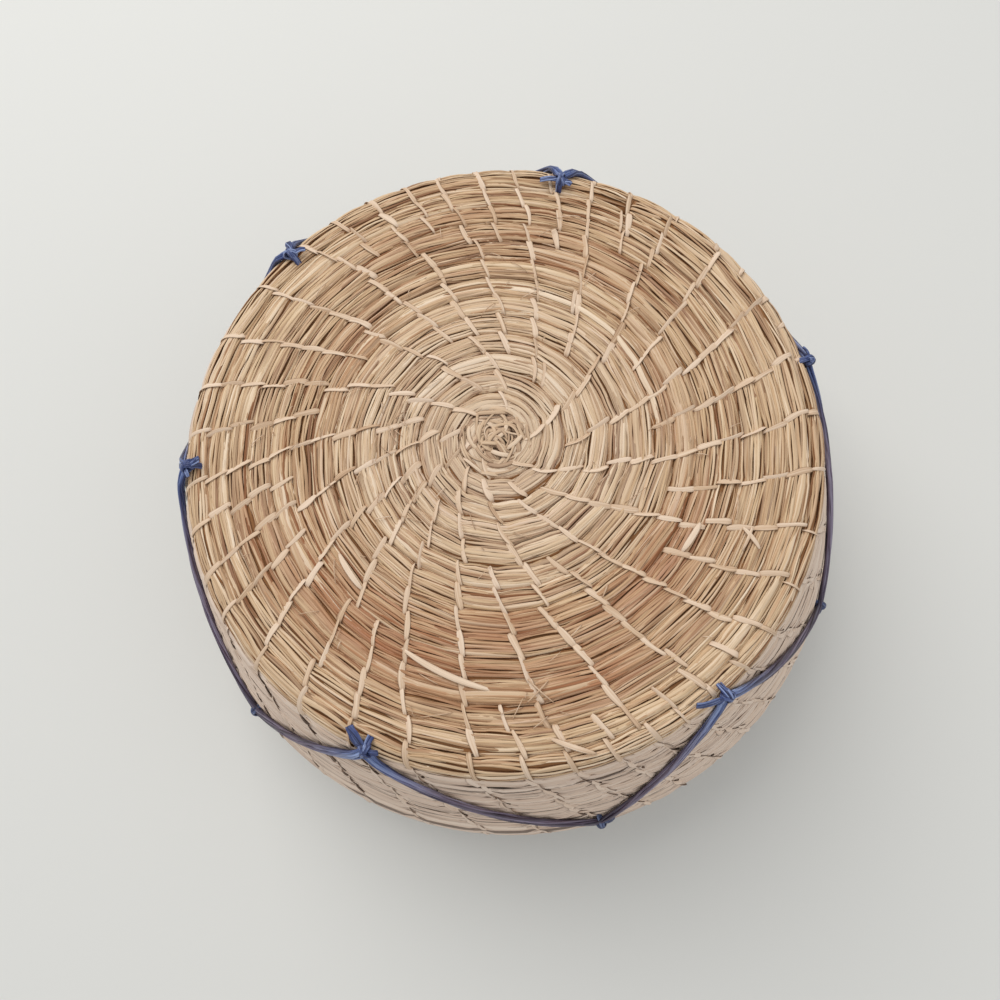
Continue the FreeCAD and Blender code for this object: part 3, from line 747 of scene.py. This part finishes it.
def stitch_piece(coil, turns, side, sewing, top, seed):
    """One leaning strip over each row at each stitch.

    A strip goes straight across the row in its share from end to end, and moves on along the row
    by its lean. High powers of that share make both its ends dive and narrow it there, and one
    sine makes its width uneven. Each strip is twisted by a small angle of its own.
    """
    rng = np.random.default_rng(seed)
    count = len(turns)
    share = np.linspace(0, 1, STITCH_STEPS)[None]
    radius = coil.radius(turns)[:, None]
    reach = STITCH_REACH - 0.7 * np.exp(-(radius / 30) ** 2) + rng.normal(0, 0.25, (count, 1))
    across = reach * (2 * share - 1) + rng.normal(0, 0.15, (count, 1))
    lean = stitch_drift(radius) + rng.normal(sewing["lean"], 0.45, (count, 1))
    bow = rng.normal(0, 0.3, (count, 1)) * tapered(share, 2)
    turn = turns[:, None] + (lean * (share - 0.5) + bow) / (2 * math.pi * radius)
    end = np.abs(2 * share - 1)
    lift = top + sewing["proud"] - 0.25 * end ** 2 - 1.3 * end ** 9
    path = coil.over(turn, across, side * lift)
    normal = side * coil.outward(turn, across)
    twist = rng.normal(0, STITCH_TWIST, (count, 1, 1)) * unit(np.gradient(path, axis=1))
    normal = unit(normal + np.cross(normal, twist))
    wide = rng.uniform(*sewing["width"], (count, 1)) * (0.5 + 0.5 * tapered(share, 4))
    wide = wide * (1 + 0.15 * np.sin(2 * math.pi * (share + rng.random((count, 1)))))
    rings = carry(path, normal, STRAND_OUTLINE, wide, STITCH_THICKNESS)
    shade = rng.normal(0, 0.12, (count, 1, 1, 1)) * [1, 0.3, 0.6]
    # The sides of a stitch get painted shade, for the shadow beside it.
    tint = sewing["edges"] * PAINTED_EDGE_SHADE + np.array(sewing["tint"]) + shade
    places = fibre_places(across, STRAND_OUTLINE, wide, rng.uniform(0, 100, (count, 1)))
    return Strips().add(rings, np.clip(tint, 0, 1), places)


# %% [markdown]
# A basket has three zones of rows. The disc and the bend at its edge have fine strands, and the
# wall has broad ones. Each zone gets its heart, and then strands and stitches on both faces. The
# outer ones stand in the place of the measured coil and its measured stitches.

# %% Lay the strands and stitches
EDGE_ROWS = 1.25
# The edge number of each sewing sets the painted shade at the sides of its stitches.
DISC_SEWING = {"width": (1.2, 2.1), "proud": 0.3, "lean": 1.0, "edges": 0.5,
               "tint": (0.72, 0.06, 0.25)}
WALL_SEWING = {"width": (1.3, 2.0), "proud": 0.32, "lean": 1.2, "edges": 1.4,
               "tint": (0.68, 0.0, 0.4)}


def zones(disc, coil):
    """Rows by their kind: the disc, its edge, where the strands are still fine, and the wall."""
    joint = coil.flat_rows
    on_disc = (FINE, disc_tone, disc_palm, "palm_disc", DISC_SEWING)
    on_wall = (BROAD, wall_tone, wall_palm, "palm_wall", WALL_SEWING)
    return [(disc, (0, joint), *on_disc),
            ("edge", (joint, joint + EDGE_ROWS), *on_disc),
            ("wall", (joint + EDGE_ROWS, coil.rows), *on_wall)]


def basket(name, disc, coil, stitches, seed):
    """All the palm rows of one half. Only the outside of the lid needs its finest steps."""
    for zone, rows, kind, tone, material, slot, sewing in zones(disc, coil):
        on_foot = zone == disc and coil.climb > 0
        outer_top = WORN_TOP if on_foot else ROW_TOP
        core = core_piece(coil, rows, outer_top, float(zone == "wall"))
        dress(core, f"{name}_{zone}_core", name, slot, core_palm)
        sewn_here = stitches[(stitches >= rows[0]) & (stitches < rows[1] - 0.02)]
        for side, face in ((1, ""), (-1, "inner_")):
            seed += 1
            top = outer_top if side > 0 else ROW_TOP
            detail = kind if side > 0 and name == "lid" else {**kind, **INNER}
            parts = strand_pieces(coil, rows, detail, side, stitches, tone, top, seed)
            strips = stitch_piece(coil, sewn_here, side, sewing, top, seed + 100)
            main = side > 0 and zone != "edge"
            for number, strands in enumerate(parts, start=1):
                label = f"{name}_{zone}_{face}strands_{number}"
                nodes = (f"{name}_{zone}_coil",) if main and number == 1 else ()
                dress(strands, label, name, slot, material, *nodes)
            nodes = (f"{name}_{zone}_stitches",) if main else ()
            sewn_palm = wall_palm if zone == "wall" else strip_palm
            dress(strips, f"{name}_{zone}_{face}sewing", name, "palm_strip", sewn_palm, *nodes)
    dress(rim_piece(coil, seed + 50), f"{name}_rim_strands", name, "palm_wall", wall_palm)


basket("lid", "disc", lid, lid_stitches, 10)
basket("base", "floor", base, base_stitches, 40)

# %% [markdown]
# A coil starts as a small tangle: the first strands are folded over each other and caught by the
# first stitches. Short bent strips at all angles, heaped over the eye of the spiral, look like
# that and close the eye as well.

# %% The tangled start
TANGLE_RADIUS = 11.0
TANGLE_STRIPS = 130
DEEP_STRIPS = 40
DEEP_WIDTH = 3.0
TANGLE_DOME = 0.55


def tangle(coil, top, side, seed):
    """Short arcs over the eye: the outer ones follow the spiral, the inner ones lie anyhow.

    Each arc is a straight line bent by a heading that changes along it. The arcs lie on a low
    dome and their ends dive. The first of them are broad and dark, lie deep and close the eye;
    their dark tint is painted shade in the depth of the eye.
    """
    rng = np.random.default_rng(seed)
    share = np.linspace(-0.5, 0.5, 12)[None]
    count = TANGLE_STRIPS
    far = TANGLE_RADIUS * np.sqrt(rng.random((count, 1)))
    around = rng.uniform(0, 2 * math.pi, (count, 1))
    heading = around + math.pi / 2 + rng.normal(0, 1, (count, 1)) * np.clip(1.3 - far / 9, 0.12, 1.3)
    long = rng.uniform(5, 11, (count, 1))
    bend = rng.normal(0.6, 0.5, (count, 1)) * share * long / np.maximum(far, 4)
    x = far * np.sin(around) + share * long * np.sin(heading + bend / 2)
    y = -far * np.cos(around) - share * long * np.cos(heading + bend / 2)
    dome = TANGLE_DOME * np.clip(1 - np.hypot(x, y) / TANGLE_RADIUS, 0, 1)
    lift = top + rng.uniform(-0.4, 0.6, (count, 1)) + dome - 1.5 * np.abs(2 * share) ** 4
    deep = np.arange(count)[:, None] < DEEP_STRIPS
    lift = np.where(deep, top - rng.uniform(0.4, 1.6, (count, 1)) + 0 * share, lift)
    z = coil.height - coil.worn - coil.climb * side * lift
    if coil.worn:
        z = np.maximum(z, FOOT_LEVEL)
    path = np.stack([x, y, z], -1)
    normal = np.zeros(path.shape)
    normal[..., 2] = -coil.climb * side
    wide = np.where(deep, DEEP_WIDTH, rng.uniform(0.5, 1.6, (count, 1)))
    wide = wide * (0.6 + 0.4 * tapered(share + 0.5, 6))
    rings = carry(path, normal, STRAND_OUTLINE, wide, 0.4)
    # The deep strips get a dark lightness: painted shade under the tangle.
    light = np.where(deep, 0.2, rng.normal(0.52, 0.18, (count, 1)))[..., None, None]
    # All arcs of the tangle get painted shade on their lower edges.
    tints = np.concatenate([light, 0.15 + 0 * light, 0.5 + 0 * light], -1) + 1.5 * PAINTED_EDGE_SHADE
    places = fibre_places(share * long, STRAND_OUTLINE, wide, rng.uniform(0, 100, (count, 1)))
    return Strips().add(rings, tints, places)


dress(tangle(lid, ROW_TOP, 1, 71), "lid_start_tangle", "lid", "palm_knot", disc_palm,
      "lid_start_knot")
dress(tangle(lid, ROW_TOP - 0.3, -1, 73), "lid_inner_tangle", "lid", "palm_knot", disc_palm)
dress(tangle(base, WORN_TOP - 0.7, 1, 72), "base_start_tangle", "base", "palm_knot", disc_palm,
      "base_start_knot")
dress(tangle(base, ROW_TOP - 0.3, -1, 74), "base_inner_tangle", "base", "palm_knot", disc_palm)

# %% [markdown]
# Here and there a strand has sprung loose and lies across its neighbours. Each is one strip
# between two places on the disc, given by their angles from the front and their distances from
# the middle, and then by its width and its lightness.

# %% Loose blades on the disc
HAIRS = 90
BLADE_LIFT = 0.5
LOOSE_BLADES = [
    (325.0, 66.4, 348.1, 72.5, 1.9, 0.85), (358.1, 85.9, 5.3, 92.6, 1.5, 0.7),
    (355.3, 69.5, 0.3, 77.3, 0.5, 0.45), (354.7, 76.1, 0.1, 71.0, 0.5, 0.4),
    (45.1, 62.4, 54.5, 63.4, 1.8, 0.95), (57.1, 74.7, 53.9, 81.4, 1.3, 0.8),
    (52.3, 76.9, 57.8, 77.3, 1.0, 0.7), (20.5, 55.7, 24.2, 53.3, 0.5, 0.5),
    (295.1, 56.9, 308.0, 58.8, 1.8, 0.9),
]


def thin_hairs(count, rng):
    """Fine split fibres at random places of the disc, in the same terms as the blades."""
    angle = rng.uniform(0, 360, count)
    radius = rng.uniform(25, 84, count)
    far_angle = angle + np.degrees(rng.normal(0, 5, count) / radius) + 2
    far_radius = radius + rng.normal(0, 2.6, count)
    width = rng.uniform(0.18, 0.32, count)
    light = rng.uniform(0.3, 0.8, count)
    return np.stack([angle, radius, far_angle, far_radius, width, light], -1)


def loose_blades():
    """One strip for each blade, curved with the disc and lifted a little off the strands.

    Its angle and radius run evenly from end to end. Half a sine lifts its middle, and a high
    power of its length makes both ends dive.
    """
    hairs = thin_hairs(HAIRS, np.random.default_rng(75))
    blades = np.concatenate([LOOSE_BLADES, hairs])[:, :, None]
    share = np.linspace(0, 1, 14)[None]
    sweep = (blades[:, 2] - blades[:, 0] + 180) % 360 - 180
    angle = blades[:, 0] + sweep * share
    radius = blades[:, 1] + (blades[:, 3] - blades[:, 1]) * share
    height = 0.25 + BLADE_LIFT * np.sin(math.pi * share) - 0.9 * np.abs(2 * share - 1) ** 8
    path = at_angle(radius, angle, DISC_TOP + height)
    normal = np.broadcast_to([0.0, 0.0, 1.0], path.shape)
    wide = blades[:, 4] * (0.35 + 0.65 * tapered(share, 3))
    rings = carry(path, normal, STRAND_OUTLINE, wide, 0.25)
    light = blades[:, 5, :, None, None]
    tints = np.concatenate([light, 0.05 + 0 * light, 0.25 + 0 * light], -1)
    places = fibre_places(30 * share, STRAND_OUTLINE, wide, np.arange(len(blades))[:, None])
    return Strips().add(rings, tints, places)


dress(loose_blades(), "lid_loose_blades", "lid", "palm_strip", strip_palm)

# %% [markdown]
# The twine is a flat bundle of fine synthetic fibres, purple-grey along the wall and bluer at the
# ties. A bundle is many thin round strips round one path: each keeps its place in a flattened
# oval and slowly changes places with the others.


# %% A bundle of fibres
GOLDEN_ANGLE = math.pi * (3 - math.sqrt(5))


def bundle(path, normal, count, width, thickness, turns, rng, root=1.0):
    """Outlines of fibres round one path, and the width of each.

    The fibres fill an oval evenly, each at the golden angle from the last, and turn round in it
    by a number of turns along the path. width and thickness are of the whole bundle, and root
    is the share of its width that it starts with.
    """
    steps = len(path)
    share = np.linspace(0, 1, steps)[None]
    number = np.arange(count)[:, None]
    ring = np.sqrt((number + 0.5) / count)
    angle = number * GOLDEN_ANGLE + 2 * math.pi * turns * share
    wander = 0.35 * np.sin(2 * math.pi * (share * (steps / 17) + rng.random((count, 1))))
    angle = angle + wander + rng.normal(0, 0.2, (count, 1))
    squeeze = root + (1 - root) * tapered(0.8 * share, 2)
    forward = unit(np.gradient(path, axis=0))
    side = unit(np.cross(forward, normal))
    out = np.cross(side, forward)
    fibre = 1.15 * math.sqrt(width * thickness / count)
    sideways = (ring * np.cos(angle) * squeeze * (width - fibre) / 2)[..., None] * side
    outwards = (ring * np.sin(angle) * (thickness - fibre) / 2)[..., None] * out
    paths = path[None] + sideways + outwards
    normals = np.broadcast_to(normal[None], paths.shape)
    wide = np.full((count, steps), fibre) * rng.uniform(0.8, 1.15, (count, 1))
    return carry(paths, normals, ROUND_OUTLINE, wide, wide), wide


def twine_numbers(wide, distance, light, blueness, darkness, rng):
    """Tints and fibre places of a bundle. light is the mean and the spread of its lightness."""
    light = rng.normal(*light, (len(wide), 1))
    tints = np.stack([light + 0 * wide, blueness + 0 * wide, darkness + 0 * wide], -1)
    seeds = rng.uniform(0, 100, (len(wide), 1))
    return tints[:, :, None], fibre_places(distance, ROUND_OUTLINE, wide, seeds)


def twine_material():
    """tint holds lightness, blueness and darkness; fibre noise streaks the colour."""
    tree = Tree("synthetic twine")
    light, blueness, darkness = tree.split("tint")
    along, across, seed = tree.split("fibre")
    streak = tree.noise(along * 0.12, across * 2.0, seed, 2.0)
    level = light + (streak - 0.5) * 0.9
    purples = [(0.0, colour(50, 38, 50)), (0.5, colour(97, 79, 96)), (1.0, colour(150, 138, 156))]
    blues = [(0.0, colour(32, 40, 78)), (0.5, colour(58, 76, 128)), (1.0, colour(140, 158, 200))]
    purple = tree.node("ShaderNodeValToRGB", {"stops": purples}, [level])
    blue = tree.node("ShaderNodeValToRGB", {"stops": blues}, [level])
    shade = tree.mix(blueness, purple, blue)
    final = tree.mix(darkness, shade, colour(34, 34, 52))
    tree.set(Specular_IOR_Level=0.6)
    return tree.set(Base_Color=final, Roughness=0.3 + streak * 0.2,
                    Normal=tree.bump(streak, 0.3, 0.0002))


twine_finish = twine_material()

# %% [markdown]
# The twine zigzags between ties at the disc's edge and ties on the row above the rim. Opened
# flat, the wall is a plane of angle and distance down the wall, and there each leg is a straight
# line. The corners are then rounded by averaging each place with its neighbours.

# %% The zigzag
TOP_TIE_ANGLES = [29, 93.5, 155.5, 215, 263, 326.5]
LOW_TIE_ANGLES = [58, 124, 185, 239, 300, 364]
TWINE_OFFSET = 4.55
TWINE_SINK = 0.35
ROUTE_STEPS = 430
ROUTE_ROUNDING = 2
TWINE_FIBRES = 24
TWINE_TURNS = 7
BLUE_REACH = 13
DARK_REACH = 8
WALL_RADIUS = 100

edge_turn = np.interp(lid.bend_end, lid.table_along, lid.table_turn)
top_turns = np.array([lid.latest_turn(angle, edge_turn) for angle in TOP_TIE_ANGLES])
low_turns = np.array([lid.latest_turn(angle, lid.rows - 1) for angle in LOW_TIE_ANGLES])
corner_angles = np.stack([TOP_TIE_ANGLES, LOW_TIE_ANGLES], 1).ravel()
corner_angles = np.append(corner_angles, corner_angles[0] + 360)
corner_alongs = np.stack([lid.along(top_turns), lid.along(low_turns)], 1).ravel()
corner_alongs = np.append(corner_alongs, corner_alongs[0])


def wall_path(angle, along, lift):
    """Points over the lid's wall by angle from the front and distance along the section."""
    heading = lid.section(along)[2]
    return lid.off(along, angle, heading, 0.0, lift)


def rounded(values, reach):
    """A closed path's points averaged with their neighbours, weighted by a raised cosine."""
    weights = 1 + np.cos(np.linspace(-math.pi, math.pi, 2 * reach + 1))
    padded = np.concatenate([values[-reach:], values, values[:reach]])
    smooth = [np.convolve(padded[:, axis], weights / weights.sum(), "valid") for axis in range(3)]
    return np.stack(smooth, -1)


route_angle = np.linspace(corner_angles[0], corner_angles[-1], ROUTE_STEPS + 1)[:-1]
route_along = np.interp(route_angle, corner_angles, corner_alongs)
route = rounded(wall_path(route_angle, route_along, TWINE_OFFSET - TWINE_SINK), ROUTE_ROUNDING)
route = np.concatenate([route, route[:1]])
wall_normal = wall_path(route_angle, route_along, 1.0) - wall_path(route_angle, route_along, 0.0)
route_normal = np.concatenate([unit(wall_normal), unit(wall_normal[:1])])
route_length = np.append(0, np.cumsum(np.linalg.norm(np.diff(route, axis=0), axis=-1)))
print("twine:", round(route_length[-1]), "mm")


def nearest_tie(angles):
    """Distance round the wall from each step of the route to the nearest of some ties, in mm."""
    turned = np.append(route_angle, route_angle[0])[None]
    apart = np.abs((turned - np.array(angles)[:, None] + 180) % 360 - 180)
    return np.radians(apart.min(0)) * WALL_RADIUS


rng = np.random.default_rng(90)
blueness = 0.05 + 0.95 * np.exp(-(nearest_tie(TOP_TIE_ANGLES) / BLUE_REACH) ** 2)
darkness = 0.45 * np.exp(-(nearest_tie(LOW_TIE_ANGLES) / DARK_REACH) ** 2)
rings, wide = bundle(route, route_normal, TWINE_FIBRES, 4.0, 2.4, TWINE_TURNS, rng)
numbers = twine_numbers(wide, route_length, (0.52, 0.26), blueness, darkness, rng)
twine = Strips().add(rings, *numbers)
dress(twine, "zigzag_twine_fibres", "lid", "twine", twine_finish, "zigzag_twine")

# %% [markdown]
# Each tie is a short piece of the same twine: a band round the row and the zigzag, a knot of a
# few crossing wraps on top, and loose ends. It is made in the row's own directions, X along the
# row, Y back across the rows and Z out of the basket, and then put in its place.

# %% Ties, knots and loose ends
ROUND_STEPS = 30
TAIL_STEPS = 14
TIE_BLUENESS = 0.92
TIE_LIGHT = (0.5, 0.28)
TOP_KNOT, TOP_DARKNESS = 2.1, 0.15
LOW_KNOT, LOW_DARKNESS = 1.7, 0.5


class Tie:
    """A place where the zigzag is tied to a row of the lid."""

    def __init__(self, turn):
        self.origin = lid.place(turn)
        forward = unit(lid.place(turn + 0.002) - lid.place(turn - 0.002))
        back = unit(np.cross(lid.outward(turn), forward))
        self.axes = np.stack([forward, back, np.cross(forward, back)])

    def placed(self, local):
        """Points of the tie's own directions, in their place on the lid."""
        return self.origin + local @ self.axes


def ring_path(radius, height, centre_height, tilt):
    """A closed loop round X, turned about Z by a tilt in degrees, and its outward direction."""
    angle = np.linspace(0, 2 * math.pi, ROUND_STEPS)
    aside, up = radius * np.sin(angle), height * np.cos(angle)
    turn = math.radians(tilt)
    path = np.stack([aside * math.sin(turn), aside * math.cos(turn), centre_height + up], -1)
    return path, unit(path - [0, 0, centre_height])


def tail_path(degrees, length, droop):
    """A loose end from the knot, its way given from Y towards X, which droops to the strands."""
    share = np.linspace(0, 1, TAIL_STEPS)
    way = math.radians(degrees)
    reach = length * share
    height = TWINE_OFFSET + 0.6 * np.sin(2.6 * share) - droop * share ** 2
    path = np.stack([reach * math.sin(way), reach * math.cos(way), height], -1)
    return path, np.broadcast_to([0.0, 0.0, 1.0], path.shape)


def tie_piece(name, tie, knot, darkness, tails, seed):
    """All the bundles of one tie as one piece that stands for the measured tie.

    knot is the half-length of its wraps; each tail has a way, a length, a droop and a width.
    """
    rng = np.random.default_rng(seed)
    strips = Strips()
    # The band, the two wraps of the knot and the tails: each is a path and its outward
    # direction, a number of fibres, a width, a thickness and the share of width at its root.
    parts = [(ring_path(3.05, 4.6, 1.35, 0), 8, 2.4, 0.8, 1.0)]
    parts += [(ring_path(knot, 1.5, TWINE_OFFSET, tilt), 7, 1.8, 0.9, 1.0) for tilt in (12, -48)]
    parts += [(tail_path(*tail[:3]), 12, tail[3], 0.9, 0.4) for tail in tails]
    for (path, normal), count, width, thickness, root in parts:
        rings, wide = bundle(path, normal, count, width, thickness, 0.3, rng, root)
        distance = np.linspace(0, 10, wide.shape[1])[None]
        numbers = twine_numbers(wide, distance, TIE_LIGHT, TIE_BLUENESS, darkness, rng)
        strips.add(tie.placed(rings), *numbers)
    dress(strips, f"{name}_fibres", "lid", "tie", twine_finish, name)


TOP_TAILS = [
    [(-61, 10.0, 1.6, 2.7), (-88, 4.0, 0.4, 2.0)], [(70, 4.5, 0.5, 2.6), (-20, 3.5, 0.0, 2.0)],
    [(80, 6.5, 0.8, 2.4), (-70, 4.0, 0.0, 2.2)], [(-145, 4.0, -1.0, 2.6), (-60, 5.0, 0.6, 2.4)],
    [(-15, 5.0, 0.3, 2.8), (85, 3.5, 0.3, 2.0)], [(-50, 8.0, 1.0, 3.9), (70, 4.0, 0.0, 2.2)],
]
LOW_TAILS = [(-100, 3.5, 0.5, 2.8), (60, 4.0, 0.3, 2.6), (20, 4.0, 0.3, 2.6),
             (-60, 4.0, 0.4, 2.6), (150, 5.0, 1.5, 2.4), (60, 5.0, 0.3, 3.4)]
for number, (turn, tails) in enumerate(zip(top_turns, TOP_TAILS), start=1):
    tie_piece(f"top_tie_{number}", Tie(turn), TOP_KNOT, TOP_DARKNESS, tails, 200 + number)
for number, (turn, tail) in enumerate(zip(low_turns, LOW_TAILS), start=1):
    tie_piece(f"low_tie_{number}", Tie(turn), LOW_KNOT, LOW_DARKNESS, [tail], 300 + number)

# %% [markdown]
# At the rim the coil's cut end is bound with a strip of palm wound round it. The winding is one
# helix round the row.

# %% Whipping at the coil's end
WHIP_LENGTH = 12.0
WHIP_WINDINGS = 6
WHIP_STEPS = 40
WHIP_WIDTH = 2.3


def whipping(coil, seed):
    """A helix round the row's middle line, back from its end, whose radius changes a little."""
    rng = np.random.default_rng(seed)
    share = np.linspace(0, 1, WHIP_STEPS * WHIP_WINDINGS)[None]
    angle = 2 * math.pi * WHIP_WINDINGS * share
    turn = coil.rows - WHIP_LENGTH / (2 * math.pi * coil.radius(coil.rows)) * share
    radius = ROW_RADIUS + 0.05 + 0.08 * np.sin(angle * 0.37)
    path = coil.place(turn, radius * np.sin(angle), radius * np.cos(angle))
    normal = coil.onward(turn) * np.sin(angle)[..., None]
    normal = normal + coil.outward(turn) * np.cos(angle)[..., None]
    wide = np.full(share.shape, WHIP_WIDTH)
    rings = carry(path, normal, STRAND_OUTLINE, wide, 0.25)
    places = fibre_places(angle * ROW_RADIUS, STRAND_OUTLINE, wide, rng.uniform(0, 100))
    return Strips().add(rings, np.array([0.6, 0.05, 0.4]), places)


for name, coil in (("lid", lid), ("base", base)):
    dress(whipping(coil, 400), f"{name}_whipping_strip", name, "palm_strip", strip_palm,
          f"{name}_tail_whipping")

# %% [markdown]
# The photograph looks almost straight down from just in front of the lid, with the camera turned
# a little clockwise. The lens is that of a phone.

# %% Camera
TOP_EDGE_RADIUS = 93.0
CAMERA_PLACE = np.array([-0.031, -0.8283, 2.3505]) * TOP_EDGE_RADIUS
PITCH_DOWN = math.radians(75)
ROLL = math.radians(11.73)
FOCAL_LENGTH = 28.08

lens = bpy.data.cameras.new("camera")
lens.lens = FOCAL_LENGTH
lens.sensor_width = 36
lens.clip_start = 0.01
camera = new_object("camera", lens)
bpy.context.scene.camera = camera

level = np.array([0, math.sin(PITCH_DOWN), math.cos(PITCH_DOWN)])
forward = np.array([0, math.cos(PITCH_DOWN), -math.sin(PITCH_DOWN)])
sideways = math.cos(ROLL) * np.array([1, 0, 0]) - math.sin(ROLL) * level
upwards = math.sin(ROLL) * np.array([1, 0, 0]) + math.cos(ROLL) * level
pose = np.eye(4)
pose[:3, 0], pose[:3, 1], pose[:3, 2] = sideways, upwards, -forward
pose[:3, 3] = (CAMERA_PLACE + [0, 0, DISC_TOP]) * MM
camera.matrix_world = [list(column) for column in pose.T]

# %% [markdown]
# A plain pale floor, a large soft window light from behind the basket and a weak fill leave the
# front of the wall in gentle shade, as in the photograph.

# %% Floor and light
FLOOR_REACH = 3.0
floor_mesh = bpy.data.meshes.new("floor")
corners = [(-FLOOR_REACH, -FLOOR_REACH, 0), (FLOOR_REACH, -FLOOR_REACH, 0),
           (FLOOR_REACH, FLOOR_REACH, 0), (-FLOOR_REACH, FLOOR_REACH, 0)]
floor_mesh.from_pydata(corners, [], [(0, 1, 2, 3)])
floor = new_object("floor", floor_mesh)
floor_finish = Tree("pale floor").set(Base_Color=colour(214, 212, 206), Roughness=0.9)
floor_mesh.materials.append(floor_finish)


def area_light(name, place, side, watts):
    """A square lamp that faces the basket."""
    lamp = bpy.data.lights.new(name, "AREA")
    lamp.size = side
    lamp.energy = watts
    holder = new_object(name, lamp)
    holder.location = place
    aim = Vector((0, 0, 0.05)) - Vector(place)
    holder.rotation_euler = aim.to_track_quat("-Z", "Y").to_euler()


area_light("window", (-0.35, 0.8, 1.2), 1.2, 14)
area_light("fill", (0.7, -0.6, 1.0), 1.2, 2.5)
world = bpy.data.worlds.new("room")
world.use_nodes = True
background = world.node_tree.nodes["Background"]
background.inputs["Color"].default_value = (0.92, 0.96, 1.0, 1)
background.inputs["Strength"].default_value = 0.6
bpy.context.scene.world = world
bpy.context.scene.view_settings.view_transform = "Standard"
